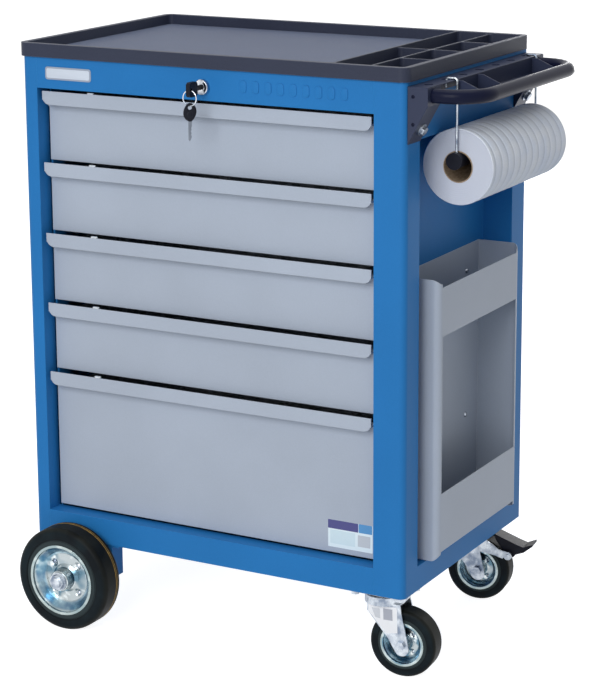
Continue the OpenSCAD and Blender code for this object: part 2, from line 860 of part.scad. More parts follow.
// Two bins: back sheet, rounded end walls, two front bands and two floors
module side_rack() {
    end_wrap = 11;
    foot_r = 12;
    floors = [band_base, band_top - band_up];
    y_cut = [rack_y[0] + end_wrap, rack_y[1] - end_wrap];
    x_cut = [x_rack[1] - 2 * sheet_t, x_rack[1] + 1];
    color(grey) difference() {
        union() {
            translate([0, 0, rack_z[0]]) linear_extrude(rack_h) difference() {
                rack_plan(0);
                rack_plan(sheet_t);
            }
            for (z = floors)
                translate([0, 0, z]) linear_extrude(sheet_t) rack_plan(sheet_t / 2);
        }
        block(x_cut, y_cut, [rack_z[0] - 1, band_base]);
        block(x_cut, y_cut, [band_base + band_low, band_top - band_up]);
        block(x_cut, y_cut, [band_top, rack_z[1] + 1]);
        plate_xz([rack_y[0] - 1, rack_y[1] + 1]) for (flip = [0, 1])
            translate([x_rack[1], rack_z[flip]]) mirror([0, flip]) difference() {
                translate([-foot_r, -1]) square([foot_r + 1, foot_r + 1]);
                translate([-foot_r, foot_r]) circle(foot_r);
            }
    }
}

// ---- Big wheels ----

// Tyre with round shoulders and a groove in each side wall, on its own axis
module tyre(r, width, bead) {
    wall = r - bead;
    shoulder = wall * 0.32;
    groove = [bead + wall * 0.28, bead + wall * 0.36];
    color(black) rotate_extrude() difference() {
        union() {
            translate([bead, -width / 2]) square([wall - shoulder, width]);
            translate([bead, -width / 2 + shoulder])
                square([wall, width - 2 * shoulder]);
            for (side = [-1, 1])
                translate([r - shoulder, side * (width / 2 - shoulder)])
                    circle(shoulder, $fn = 24);
        }
        for (y = [-width / 2 - 1, width / 2 - wall * 0.04])
            translate([groove[0], y]) square([groove[1] - groove[0], 1 + wall * 0.04]);
    }
}

// One side of a rim's section: hub tube, dished disc and bead flange
function rim_side(r, half, hub, bore) = let(lip = 1.2, wall = 2, dish = half * 0.4) [
    [bore, hub], [r * 0.30 - 1, hub], [r * 0.30, hub - 1], [r * 0.33, dish + 3],
    [r * 0.42, dish], [r * 0.70, dish - 1], [r * 0.78, dish + 1],
    [r - wall - 3, half - 6], [r - wall, half - 3], [r - wall, half + lip],
    [r + wall, half + lip], [r + wall, half], [r, half]];

// Pressed rim of two riveted halves with dimples between the rivets
module rim(r, width, hub_low, hub_high, bore) {
    high = rim_side(r, width / 2, hub_high, bore);
    low = rim_side(r, width / 2, hub_low, bore);
    last = len(low) - 1;
    dimple_r = r * 0.11;
    dimple_t = r * 0.05;
    color(zinc) difference() {
        rotate_extrude()
            polygon(concat(high, [for (k = [0 : last]) [low[last - k][0], -low[last - k][1]]]));
        for (turn = [45 : 90 : 315], side = [0, 1])
            rotate([0, 0, turn]) mirror([0, 0, side])
                translate([r * 0.56, 0, width * 0.2 - dimple_t])
                    cylinder(h = 2 * dimple_t, r1 = dimple_r * 0.6, r2 = dimple_r * 1.8,
                             $fn = 24);
    }
}

rim_share = 0.66;

module at_wheel() {
    translate([x_wheel, y_wheel, wheel_r]) along_y() children();
}

module big_tyre() {
    at_wheel() tyre(wheel_r, wheel_w, wheel_r * rim_share);
}

module big_rim() {
    at_wheel() rim(wheel_r * rim_share, wheel_w, hub_out, hub_in, axle_d / 2 + run);
}

// Stub axle with a collar, washer and cap nut outside the wheel
module stub_axle() {
    y_hub = [y_wheel - hub_out - 0.1, y_wheel + hub_in + 0.1];
    nut_r = 12;
    rod_y(x_wheel, wheel_r, [y_hub[0] - 2, bracket_y + bracket_t + 1], axle_d / 2);
    rod_y(x_wheel, wheel_r, [y_hub[1], bracket_y], axle_d / 2 + 5);
    rod_y(x_wheel, wheel_r, [y_hub[0] - 2, y_hub[0]], axle_d / 2 + 4);
    rod_y(x_wheel, wheel_r, [bracket_y + bracket_t, bracket_y + bracket_t + 8],
          axle_d / 2 + 5);
    translate([x_wheel, y_hub[0] - 7, wheel_r]) along_y()
        cylinder(h = 5, r = nut_r, $fn = 6);
    rod_y(x_wheel, wheel_r, [y_hub[0] - 10, y_hub[0] - 7], nut_r - 4);
}

module stub_axles() {
    color(zinc) front_and_back() stub_axle();
}

// Folded bracket under the cabinet that carries a stub axle
module axle_bracket() {
    low = wheel_r - 24;
    side = 56;
    rib_d = 29;
    flange_d = 66;
    chamfer = 18;
    x = [x_wheel - side, x_wheel + side];
    y = [bracket_y, bracket_y + bracket_t];
    difference() {
        union() {
            plate_xz(y) polygon([[x[0], ground_h], [x[0], low + chamfer],
                                 [x[0] + chamfer, low], [x[1] - chamfer, low],
                                 [x[1], low + chamfer], [x[1], ground_h]]);
            block([x[0] - 12, x[1] + 12], [y[0], y[0] + flange_d],
                  [ground_h - bracket_t, ground_h]);
            for (rib = [x[0], x[1] - bracket_t])
                block([rib, rib + bracket_t], [y[0], y[0] + rib_d],
                      [low + chamfer, ground_h]);
        }
        rod_y(x_wheel, wheel_r, [y[0] - 1, y[1] + 1], axle_d / 2);
    }
}

module axle_brackets() {
    color(blue) front_and_back() axle_bracket();
}

// ---- Casters ----

// Place of a caster's swivel axis
function swivel(rear) = [xr - (rear ? caster_x_rear : caster_x_front),
                         rear ? yb - caster_y : yf + caster_y, 0];

// Moves a caster's parts to its swivel axis
module at_swivel(rear) {
    translate(swivel(rear)) rotate([0, 0, rear ? yaw_rear : yaw_front]) children();
}

// Top plate with the upper race, the kingpin and its nut, and four bolts
module caster_plate() {
    half = [45, 34];
    race_r = crown_r - 5;
    z_race = z_crown + 3.5;
    bolt_at = [36, 26];
    bolt_h = 5;
    round_block([-half[0], half[0]], [-half[1], half[1]],
                [ground_h - plate_t, ground_h], 8);
    translate([0, 0, z_race]) cylinder(h = ground_h - plate_t - z_race, r = race_r);
    translate([0, 0, z_crown - 4]) cylinder(h = 12, r = pin_d / 2);
    translate([0, 0, z_crown - 10.1]) cylinder(h = 7, r = 10, $fn = 6);
    for (bx = [-1, 1], by = [-1, 1])
        translate([bx * bolt_at[0], by * bolt_at[1], ground_h - plate_t - bolt_h])
            cylinder(h = bolt_h, r = 6.5, $fn = 6);
}

module caster_plates() {
    color(zinc) for (rear = [false, true]) translate(swivel(rear)) caster_plate();
}

// Outline of a fork leg, in X and Z: broad at the crown, round below the axle
module fork_leg() {
    foot_r = 11;
    foot = [trail + 1, caster_r - 5];
    polygon([[leg_top[0], z_crown], [leg_top[0], z_crown - 14],
             [trail - 20, caster_r + 9], [foot[0] - 0.82 * foot_r, foot[1] - 0.57 * foot_r],
             foot, [foot[0] + foot_r, foot[1] + 0.5], [leg_top[1], z_crown]]);
    translate(foot) circle(foot_r);
}

// Ear that reaches over the tyre to the brake pedal's pivot, in X and Z
module brake_ear() {
    polygon([[leg_top[1] - 4, z_crown], [leg_top[1] - 4, caster_r + 33],
             [trail + 28, caster_r + 28], pedal_pivot - [8, 5], pedal_pivot + [2, 6],
             [trail + 35, caster_r + 38], [trail + 17, caster_r + 49],
             [trail + 8, z_crown]]);
    translate(pedal_pivot) circle(6.5);
}

// Crown with its race cup, two legs down to the axle and, on the braked
// caster, the ears with the pedal's pivot pin
module caster_fork(brake) {
    z_sheet = z_crown - 3;
    color(zinc) difference() {
        union() {
            translate([0, 0, z_sheet]) cylinder(h = 3, r = crown_r);
            translate([0, 0, z_crown]) difference() {
                cylinder(h = 9, r = crown_r);
                translate([0, 0, -1]) cylinder(h = 11, r = crown_r - 3);
            }
            block(leg_top, [-leg_in - leg_t, leg_in + leg_t], [z_sheet, z_crown]);
            for (y = [-leg_in - leg_t, leg_in]) plate_xz([y, y + leg_t]) {
                fork_leg();
                if (brake) brake_ear();
            }
            if (brake)
                rod_y(pedal_pivot[0], pedal_pivot[1], [-pivot_half, pivot_half], pivot_r);
        }
        translate([0, 0, z_sheet - 1]) cylinder(h = 5, r = pin_d / 2 + run);
        rod_y(trail, caster_r, [-leg_in - leg_t - 1, leg_in + leg_t + 1],
              caster_axle_d / 2 + run);
    }
}

// Axle bolt with its head and nut
module caster_axle() {
    end = leg_in + leg_t;
    color(zinc) {
        rod_y(trail, caster_r, [-end - 1, end + 1], caster_axle_d / 2);
        for (y = [-end - 5, end])
            translate([trail, y, caster_r]) along_y() cylinder(h = 5, r = 7, $fn = 6);
    }
}

module caster_tyre() {
    translate([trail, 0, caster_r]) along_y() tyre(caster_r, caster_w, caster_r * caster_rim_share);
}

module caster_rim() {
    translate([trail, 0, caster_r]) along_y()
        rim(caster_r * caster_rim_share, caster_w, leg_in - seat, leg_in - seat,
            caster_axle_d / 2 + run);
}

// Brake pedal: hub on its pivot and a moulded rocker with a lifted toe
module caster_pedal() {
    hub_r = 5;
    hub = leg_in - seat;
    half = 14;
    color(black) difference() {
        union() {
            rod_y(pedal_pivot[0], pedal_pivot[1], [-hub, hub], hub_r);
            plate_xz([-half, half]) translate(pedal_pivot)
                polygon([[-23, 31], [11, 18], [23, 14], [37, 20], [37.5, 17], [24, 6],
                         [11, 1], [7, -4], [-5, 2], [-15, 13], [-23, 25]]);
        }
        rod_y(pedal_pivot[0], pedal_pivot[1], [-hub - 1, hub + 1], pivot_r + run);
    }
}

// ---- Assembly ----

side_panel_left();
side_panel_right();
recess_pan();
back_panel();
base_pan();
top_deck();
front_fascia();
front_rail();
slide_uprights();
slide_outer_members();
top_tray();
tray_mat();
handle_brackets();
bracket_bolts();
push_handle();
holder_shelf();
roll_wires();
roll_spindle();
roll_core();
paper_roll();
side_rack();
lock_barrel();
lock_plug();
lock_key();
lock_shaft();
lock_bar();
bar_guides();
key_ring();
spare_key();
axle_brackets();
stub_axles();
big_tyre();  // wheel_front_tyre
big_rim();  // wheel_front_rim
mirror([0, 1, 0]) big_tyre();  // wheel_rear_tyre
mirror([0, 1, 0]) big_rim();  // wheel_rear_rim
caster_plates();
at_swivel(false) caster_fork(false);  // caster_front_fork
at_swivel(false) caster_axle();  // caster_front_axle
at_swivel(false) caster_tyre();  // caster_front_tyre
at_swivel(false) caster_rim();  // caster_front_rim
at_swivel(true) caster_fork(true);  // caster_rear_fork
at_swivel(true) caster_axle();  // caster_rear_axle
at_swivel(true) caster_tyre();  // caster_rear_tyre
at_swivel(true) caster_rim();  // caster_rear_rim
at_swivel(true) caster_pedal();  // caster_rear_pedal
for (i = numbers) {
    drawer_front(i);
    drawer_box(i);
    slide_middle(i);
}
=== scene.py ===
"""Looks of the tool cart: materials, small details, lights and camera."""
import json
import math
import random

import bmesh
import bpy
from mathutils import Matrix, Vector
from mathutils.bvhtree import BVHTree

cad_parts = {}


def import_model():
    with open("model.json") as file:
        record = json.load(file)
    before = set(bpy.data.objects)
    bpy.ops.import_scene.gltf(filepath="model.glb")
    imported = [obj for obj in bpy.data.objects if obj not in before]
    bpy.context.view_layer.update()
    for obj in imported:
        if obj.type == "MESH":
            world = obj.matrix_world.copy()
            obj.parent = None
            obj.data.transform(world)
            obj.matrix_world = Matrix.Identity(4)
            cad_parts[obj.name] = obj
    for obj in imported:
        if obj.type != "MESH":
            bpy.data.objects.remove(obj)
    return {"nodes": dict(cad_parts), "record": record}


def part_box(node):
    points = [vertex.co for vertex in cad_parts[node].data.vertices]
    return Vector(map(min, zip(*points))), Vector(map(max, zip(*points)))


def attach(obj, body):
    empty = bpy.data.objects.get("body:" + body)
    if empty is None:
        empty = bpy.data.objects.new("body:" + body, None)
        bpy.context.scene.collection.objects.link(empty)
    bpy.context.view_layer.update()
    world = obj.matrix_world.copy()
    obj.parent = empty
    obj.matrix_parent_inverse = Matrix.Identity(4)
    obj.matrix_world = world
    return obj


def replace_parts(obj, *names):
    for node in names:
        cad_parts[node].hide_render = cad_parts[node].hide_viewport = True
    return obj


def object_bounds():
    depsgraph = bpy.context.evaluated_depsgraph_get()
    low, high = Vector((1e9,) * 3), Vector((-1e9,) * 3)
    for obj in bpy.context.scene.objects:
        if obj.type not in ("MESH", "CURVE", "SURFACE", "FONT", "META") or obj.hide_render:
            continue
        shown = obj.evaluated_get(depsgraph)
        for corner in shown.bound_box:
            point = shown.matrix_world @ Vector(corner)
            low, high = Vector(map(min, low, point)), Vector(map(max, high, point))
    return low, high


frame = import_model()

CAD_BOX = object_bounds()
MM = 0.001
UP = Vector((0, 0, 1))
TO_FRONT = Vector((0, -1, 0))
TO_BACK = Vector((0, 1, 0))
TO_RIGHT = Vector((1, 0, 0))

DRAWERS = range(1, 6)
WHEELS = ("wheel_front", "wheel_rear", "caster_front", "caster_rear")
OUTSIDE = 100 * MM      # how far out a search for a surface starts
FLOOR_GLOW = 0.88       # emission that brings the lit floor up to white for the camera
SKY_FILL = 0.36         # strength of the white surroundings where they light the cart
PAPER_BAND = 21.5 * MM  # pitch of the embossed bands along the paper roll


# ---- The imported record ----

def axle(joint):
    """Place and direction of the axle that a joint turns on."""
    found = next(j for j in frame["record"]["behaviour"]["joints"] if j["name"] == joint)
    return Vector(found["pos_m"]), Vector(found["axis"]).normalized()


def wheel_sizes(wheel):
    """Radii of a wheel's tyre and of its rim."""
    return [(high.z - low.z) / 2 for low, high in
            (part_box(f"{wheel}_tyre"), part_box(f"{wheel}_rim"))]


# ---- Materials ----

def srgb(red, green, blue):
    """Linear colour of a screen colour whose channels run from 0 to 255."""
    def linear(value):
        value /= 255
        return value / 12.92 if value <= 0.04045 else ((value + 0.055) / 1.055) ** 2.4
    return (linear(red), linear(green), linear(blue), 1)


def scaled(colour, factor):
    """The colour, lighter or darker by a factor, and opaque."""
    return tuple(min(1, channel * factor) for channel in colour[:3]) + (1,)


class Look:
    """A node material in the making: a Principled shader fed by procedural textures."""

    def __init__(self, name, **sockets):
        self.material = bpy.data.materials.new(name)
        self.material.use_nodes = True
        self.tree = self.material.node_tree
        self.shader = self.tree.nodes["Principled BSDF"]
        self.place = self.add("ShaderNodeTexCoord").outputs["Object"]
        for socket, value in sockets.items():
            self.shader.inputs[socket.replace("_", " ")].default_value = value

    def add(self, kind, **settings):
        """New node of a kind, with its settings."""
        node = self.tree.nodes.new(kind)
        for key, value in settings.items():
            setattr(node, key, value)
        return node

    def link(self, source, target):
        self.tree.links.new(source, target)

    def stretched(self, factors):
        """Texture place with its axes scaled."""
        mapping = self.add("ShaderNodeMapping")
        mapping.inputs["Scale"].default_value = factors
        self.link(self.place, mapping.inputs["Vector"])
        return mapping.outputs["Vector"]

    def noise(self, size, detail=2.0, factors=None):
        """Cloudy pattern whose lumps are about size metres across."""
        node = self.add("ShaderNodeTexNoise")
        node.inputs["Scale"].default_value = 1 / size
        node.inputs["Detail"].default_value = detail
        self.link(self.stretched(factors) if factors else self.place, node.inputs["Vector"])
        return node.outputs["Fac"]

    def cells(self, size, feature="F1", output="Distance"):
        """Pattern of random cells about size metres across."""
        node = self.add("ShaderNodeTexVoronoi", feature=feature)
        node.inputs["Scale"].default_value = 1 / size
        self.link(self.place, node.inputs["Vector"])
        return node.outputs[output]

    def bands(self, pitch, direction="X", profile="SIN", factors=None):
        """Parallel bands, one every pitch metres."""
        node = self.add("ShaderNodeTexWave", wave_type="BANDS", bands_direction=direction,
                        wave_profile=profile)
        node.inputs["Scale"].default_value = math.pi / (10 * pitch)
        self.link(self.stretched(factors) if factors else self.place, node.inputs["Vector"])
        return node.outputs["Fac"]

    def ranged(self, value, low, high, start=0.0, end=1.0):
        """A value moved from start..end to low..high."""
        node = self.add("ShaderNodeMapRange")
        for socket, number in (("From Min", start), ("From Max", end),
                               ("To Min", low), ("To Max", high)):
            node.inputs[socket].default_value = number
        self.link(value, node.inputs["Value"])
        return node.outputs["Result"]

    def mixed(self, fac, first, second):
        """Blend of two colours; each is a colour or another node's output."""
        node = self.add("ShaderNodeMix", data_type="RGBA")
        self.link(fac, node.inputs["Factor"])
        for socket, colour in ((node.inputs[6], first), (node.inputs[7], second)):
            if isinstance(colour, tuple):
                socket.default_value = colour
            else:
                self.link(colour, socket)
        return node.outputs[2]

    def around(self, joint):
        """Distance from the axle that a joint turns on."""
        at, axis = axle(joint)
        offset = self.add("ShaderNodeVectorMath", operation="SUBTRACT")
        offset.inputs[1].default_value = at
        self.link(self.place, offset.inputs[0])
        cross = self.add("ShaderNodeVectorMath", operation="CROSS_PRODUCT")
        cross.inputs[1].default_value = axis
        self.link(offset.outputs["Vector"], cross.inputs[0])
        length = self.add("ShaderNodeVectorMath", operation="LENGTH")
        self.link(cross.outputs["Vector"], length.inputs[0])
        return length.outputs["Value"]

    def within(self, value, low, high, soft):
        """1 where the value lies between low and high, with soft ends."""
        both = self.add("ShaderNodeMath", operation="MULTIPLY")
        self.link(self.ranged(value, 0, 1, low - soft, low + soft), both.inputs[0])
        self.link(self.ranged(value, 1, 0, high - soft, high + soft), both.inputs[1])
        return both.outputs["Value"]

    def waves(self, value, pitch):
        """0 to 1 and back, once every pitch of the value."""
        node = self.add("ShaderNodeMath", operation="PINGPONG")
        node.inputs[1].default_value = pitch / 2
        self.link(value, node.inputs[0])
        return self.ranged(node.outputs["Value"], 0, 1, 0, pitch / 2)

    def facing_ends(self):
        """1 on faces that look to the front or the back, and 0 on the others."""
        across = self.add("ShaderNodeVectorMath", operation="DOT_PRODUCT")
        across.inputs[1].default_value = TO_BACK
        self.link(self.add("ShaderNodeNewGeometry").outputs["Normal"], across.inputs[0])
        size = self.add("ShaderNodeMath", operation="ABSOLUTE")
        self.link(across.outputs["Value"], size.inputs[0])
        return self.ranged(size.outputs["Value"], 0, 1, 0.8, 0.95)

    def edges(self, radius):
        """1 at sharp edges and 0 on the faces between them."""
        bevel = self.add("ShaderNodeBevel", samples=4)
        bevel.inputs["Radius"].default_value = radius
        geometry = self.add("ShaderNodeNewGeometry")
        dot = self.add("ShaderNodeVectorMath", operation="DOT_PRODUCT")
        self.link(bevel.outputs["Normal"], dot.inputs[0])
        self.link(geometry.outputs["Normal"], dot.inputs[1])
        return self.ranged(dot.outputs["Value"], 1, 0, 0.75, 1.0)

    def bump(self, height, depth, normal=None):
        """Surface relief from a height pattern, depth metres deep."""
        node = self.add("ShaderNodeBump")
        node.inputs["Distance"].default_value = depth
        self.link(height, node.inputs["Height"])
        if normal:
            self.link(normal, node.inputs["Normal"])
        return node.outputs["Normal"]

    def rounded(self, radius):
        """Normal that rounds the sharp edges off."""
        bevel = self.add("ShaderNodeBevel", samples=4)
        bevel.inputs["Radius"].default_value = radius
        return bevel.outputs["Normal"]

    def finish(self, colour=None, roughness=None, normal=None):
        """Links the outputs to the shader, and gives the material."""
        for output, socket in ((colour, "Base Color"), (roughness, "Roughness"),
                               (normal, "Normal")):
            if output:
                self.link(output, self.shader.inputs[socket])
        return self.material


def painted(name, colour, rough, grain, edge_highlight, gloss):
    """Powder coat: orange peel of depth grain, faint clouds, and a painted highlight along the
    edges.
    """
    look = Look(name, Specular_IOR_Level=gloss)
    rounding = 1.1 * MM
    clouds = look.noise(0.18, 3)
    speckle = look.noise(0.0011, 1)
    body = look.mixed(look.ranged(clouds, 0, 1, 0.3, 0.7), scaled(colour, 0.95),
                      scaled(colour, 1.05))
    fine = look.mixed(look.ranged(speckle, 0, 0.10, 0.35, 0.75), body, scaled(colour, 1.6))
    # Painted highlight: the colour lightens along the sharp edges.
    edge = look.mixed(look.ranged(look.edges(rounding), 0, edge_highlight), fine,
                      scaled(colour, 2.4))
    relief = look.bump(look.noise(0.0022, 2), grain, look.rounded(rounding))
    return look.finish(edge, look.ranged(clouds, rough - 0.04, rough + 0.05), relief)


def blue_paint():
    """Semi-matt coat of the cabinet."""
    return painted("blue_paint", srgb(39, 117, 183), 0.46, 0.05 * MM, 0.3, 0.13)


def grey_paint():
    """Satin coat of the drawer fronts and the rack."""
    return painted("grey_paint", srgb(168, 178, 193), 0.46, 0.05 * MM, 0.5, 0.35)


def black_paint():
    """Smooth blue-black coat of the push handle."""
    return painted("black_paint", srgb(20, 24, 46), 0.28, 0.03 * MM, 0.15, 0.07)


def lit_black_paint():
    """Lighter blue-grey copy of the handle's black coat for its brackets and shelf: painted
    light on the same paint.
    """
    return painted("lit_black_paint", srgb(44, 51, 74), 0.4, 0.05 * MM, 0.35, 0.25)


def inner_grey():
    """Galvanised sheet with its spangle of crystals."""
    look = Look("inner_grey", Metallic=0.75)
    crystal = look.cells(0.011, output="Color")
    shade = look.add("ShaderNodeSeparateColor")
    look.link(crystal, shade.inputs["Color"])
    tint = look.mixed(shade.outputs["Red"], srgb(148, 156, 168), srgb(186, 192, 202))
    rough = look.ranged(shade.outputs["Green"], 0.34, 0.52)
    return look.finish(tint, rough, look.rounded(0.6 * MM))


def tray_black():
    """Moulded plastic with a fine leather grain."""
    look = Look("tray_black", Specular_IOR_Level=0.22)
    rounding = 1.6 * MM
    clouds = look.noise(0.12, 3)
    grain = look.cells(0.0016)
    base = look.mixed(clouds, srgb(36, 41, 58), srgb(46, 52, 71))
    dusty = look.mixed(look.ranged(grain, 0, 0.12), base, srgb(86, 92, 112))
    # Painted highlight: a pale colour along the sharp edges.
    edge = look.mixed(look.ranged(look.edges(rounding), 0, 0.4), dusty, srgb(136, 142, 160))
    relief = look.bump(grain, 0.12 * MM, look.rounded(rounding))
    return look.finish(edge, look.ranged(clouds, 0.40, 0.52), relief)


def mat_rubber():
    """Soft mat with fine ribs along the cart's width, darker in their valleys as painted shade,
    and a scuffed, dusty sheen.
    """
    look = Look("mat_rubber", Specular_IOR_Level=0.12, Sheen_Weight=0.1, Sheen_Roughness=0.4)
    ribs = look.bands(2.6 * MM, "Y")
    clouds = look.noise(0.05, 4)
    # Painted shade: the colour darkens in the rib valleys and lightens on their crests.
    tone = look.mixed(look.ranged(ribs, 0.2, 1), srgb(58, 68, 92), srgb(86, 98, 126))
    dust = look.mixed(look.ranged(clouds, 0, 0.25, 0.45, 0.75), tone, srgb(106, 117, 142))
    relief = look.bump(ribs, 0.25 * MM, look.rounded(0.8 * MM))
    return look.finish(dust, look.ranged(clouds, 0.45, 0.6), relief)


def black_plastic():
    """Fine-grained plastic of the pedal, the key bows and the spindle."""
    look = Look("black_plastic", Specular_IOR_Level=0.13)
    rounding = 0.7 * MM
    grain = look.noise(0.0009, 2)
    clouds = look.noise(0.02, 2)
    tone = look.mixed(clouds, srgb(13, 14, 22), srgb(26, 28, 38))
    # Painted highlight: a pale colour along the sharp edges.
    edge = look.mixed(look.ranged(look.edges(rounding), 0, 0.3), tone, srgb(96, 102, 118))
    return look.finish(edge, look.ranged(clouds, 0.34, 0.5),
                       look.bump(grain, 0.05 * MM, look.rounded(rounding)))


def zinc():
    """Bright zinc plate: bluish, with faint rolling marks and cloudy gloss."""
    look = Look("zinc", Metallic=1.0)
    clouds = look.noise(0.014, 4)
    streaks = look.noise(0.004, 3, (1, 1, 6))
    tone = look.mixed(look.ranged(clouds, 0, 1, 0.36, 0.64), srgb(122, 133, 150),
                      srgb(202, 208, 214))
    rough = look.ranged(streaks, 0.2, 0.42, 0.3, 0.7)
    relief = look.bump(look.noise(0.006, 3), 0.12 * MM, look.rounded(0.7 * MM))
    return look.finish(tone, rough, relief)


def rim_zinc(wheel, radius):
    """Pressed rim with a glossy blue-white zinc plate. Its colour holds painted reflections in
    cloudy patches, a painted glint, bluer painted shade in the wall of its bowl and a painted
    highlight on the flange.
    """
    look = Look(f"rim_zinc_{wheel}", Metallic=1.0)
    out = look.around(f"{wheel}_spin")
    patches = look.noise(0.62 * radius, 1)
    swirl = look.noise(0.34 * radius, 2)
    # Painted reflections: cloudy dark and light patches across the face.
    face = look.mixed(look.ranged(patches, 0, 1, 0.44, 0.56), srgb(92, 122, 138),
                      srgb(172, 180, 182))
    # Painted glint in lighter swirls.
    painted_glint = look.mixed(look.ranged(swirl, 0, 0.9, 0.54, 0.66), face, srgb(226, 232, 232))
    # Painted shade, bluer, in the wall of the bowl.
    wall = look.within(out, 0.70 * radius, 0.90 * radius, 0.03 * radius)
    blue = look.mixed(look.ranged(swirl, 0, 1, 0.38, 0.62), srgb(48, 100, 134),
                      srgb(138, 172, 186))
    tone = look.mixed(look.ranged(wall, 0, 0.75), painted_glint, blue)
    # Painted highlight on the flange at the rim's edge.
    with_flange_highlight = look.mixed(look.ranged(out, 0, 0.7, 0.9 * radius, 0.94 * radius), tone,
                        srgb(160, 174, 172))
    relief = look.bump(look.noise(0.009, 2), 0.25 * MM, look.rounded(0.8 * MM))
    return look.finish(with_flange_highlight, look.ranged(patches, 0.12, 0.3), relief)


def steel():
    """Plain cut steel of a key's blade, grey and lightly brushed."""
    look = Look("steel", Metallic=1.0)
    marks = look.noise(0.0012, 3, (1, 1, 0.1))
    tone = look.mixed(marks, srgb(84, 91, 102), srgb(132, 139, 149))
    return look.finish(tone, look.ranged(marks, 0.25, 0.45), look.rounded(0.3 * MM))


def chrome():
    """Polished plating with faint smears; wide light and dark clouds in its tone are painted
    reflections.
    """
    look = Look("chrome", Metallic=1.0)
    smear_and_reflection = look.noise(0.008, 3)
    # Painted reflections: the tone swings between dark and light clouds; the same clouds set
    # the smears' roughness.
    tone = look.mixed(look.ranged(smear_and_reflection, 0, 1, 0.35, 0.65), srgb(138, 146, 158),
                      srgb(222, 225, 230))
    return look.finish(tone, look.ranged(smear_and_reflection, 0.08, 0.2), look.rounded(0.5 * MM))


def tyre_rubber(wheel, radius, bead):
    """Vulcanised rubber: brownish tread, cooler side wall with a lighter bead, mould marks."""
    look = Look(f"tyre_rubber_{wheel}", Specular_IOR_Level=0.09)
    out = look.around(f"{wheel}_spin")
    clouds = look.noise(0.03, 4)
    patches = look.ranged(clouds, 0, 1, 0.35, 0.65)
    wall = look.mixed(patches, srgb(8, 15, 20), srgb(22, 33, 38))
    tread = look.mixed(patches, srgb(15, 17, 16), srgb(31, 33, 30))
    tone = look.mixed(look.ranged(out, 0, 1, 0.92 * radius, 0.985 * radius), wall, tread)
    # A lighter ring on the side wall next to the rim.
    collar = look.within(out, bead, bead + 0.09 * radius, 0.015 * radius)
    lighter_collar = look.mixed(look.ranged(collar, 0, 0.4), tone, srgb(78, 90, 92))
    ring = look.within(out, bead + 0.10 * radius, bead + 0.115 * radius, 0.01 * radius)
    moulded = look.mixed(look.ranged(ring, 0, 0.8), lighter_collar, srgb(12, 13, 16))
    relief = look.bump(look.noise(0.0016, 3), 0.12 * MM)
    return look.finish(moulded, look.ranged(clouds, 0.42, 0.62), relief)


def paper():
    """Soft wiping paper, slightly blue, with a fibre texture; painted shade along the bands'
    grooves, and a darker tone with rings at the wound layers on the roll's ends as painted
    shade.
    """
    look = Look("paper", Specular_IOR_Level=0.2, Sheen_Weight=0.25, Sheen_Roughness=0.6)
    fibres = look.noise(0.0014, 4)
    clouds = look.noise(0.03, 3)
    tone = look.mixed(look.ranged(clouds, 0, 1, 0.3, 0.7), srgb(224, 234, 251),
                      srgb(238, 244, 253))
    # Painted shade: darker lines along the grooves between the embossed bands.
    groove_shade = look.within(look.bands(PAPER_BAND, "Y"), 0.93, 2, 0.05)
    groove_shaded = look.mixed(look.ranged(groove_shade, 0, 0.35), tone, srgb(150, 160, 182))
    spots = look.mixed(look.ranged(fibres, 0, 0.4, 0.55, 0.8), groove_shaded, srgb(182, 192, 214))
    # Painted shade: the roll's ends get a darker copy of the paper, with rings at the wound
    # layers' pitch.
    wound = look.mixed(look.waves(look.around("roll_spin"), 1.3 * MM), srgb(194, 200, 214),
                       srgb(210, 216, 229))
    spots = look.mixed(look.facing_ends(), spots, wound)
    return look.finish(spots, look.ranged(fibres, 0.8, 0.95), look.bump(fibres, 0.25 * MM))


def cardboard():
    """Brown board of the roll's core, its fibres along the roll."""
    look = Look("cardboard", Specular_IOR_Level=0.2)
    fibres = look.noise(0.0022, 4, (1, 0.25, 1))
    tone = look.mixed(look.ranged(fibres, 0, 1, 0.3, 0.7), srgb(140, 120, 98),
                      srgb(176, 156, 132))
    return look.finish(tone, look.ranged(fibres, 0.75, 0.9), look.bump(fibres, 0.15 * MM))


def printed(name, colour):
    """Smooth printed film, for blank labels."""
    look = Look(name, Specular_IOR_Level=0.5, Coat_Weight=0.4, Coat_Roughness=0.15)
    clouds = look.noise(0.01, 3)
    tone = look.mixed(clouds, scaled(colour, 0.97), scaled(colour, 1.03))
    return look.finish(tone, look.ranged(clouds, 0.3, 0.42),
                       look.bump(look.noise(0.02, 2), 0.1 * MM))


def satin(name, colour):
    """Satin anodised face of a blank plate, finely brushed along its length."""
    look = Look(name, Specular_IOR_Level=0.4, Metallic=0.15)
    marks = look.noise(0.0012, 3, (0.04, 1, 1))
    tone = look.mixed(marks, scaled(colour, 0.94), scaled(colour, 1.06))
    return look.finish(tone, look.ranged(marks, 0.42, 0.55), look.rounded(0.3 * MM))


def rubber_white():
    """Soft white rubber of the drawers' buffers."""
    look = Look("rubber_white", Specular_IOR_Level=0.4, Subsurface_Weight=0.1)
    clouds = look.noise(0.004, 2)
    tone = look.mixed(clouds, srgb(214, 218, 224), srgb(236, 238, 242))
    return look.finish(tone, look.ranged(clouds, 0.4, 0.55))


def mould_line():
    """Ochre line that runs round the tyre's tread."""
    look = Look("mould_line", Specular_IOR_Level=0.35)
    clouds = look.noise(0.012, 3)
    tone = look.mixed(look.ranged(clouds, 0, 1, 0.3, 0.7), srgb(150, 114, 44),
                      srgb(206, 164, 80))
    return look.finish(tone, look.ranged(clouds, 0.5, 0.7))


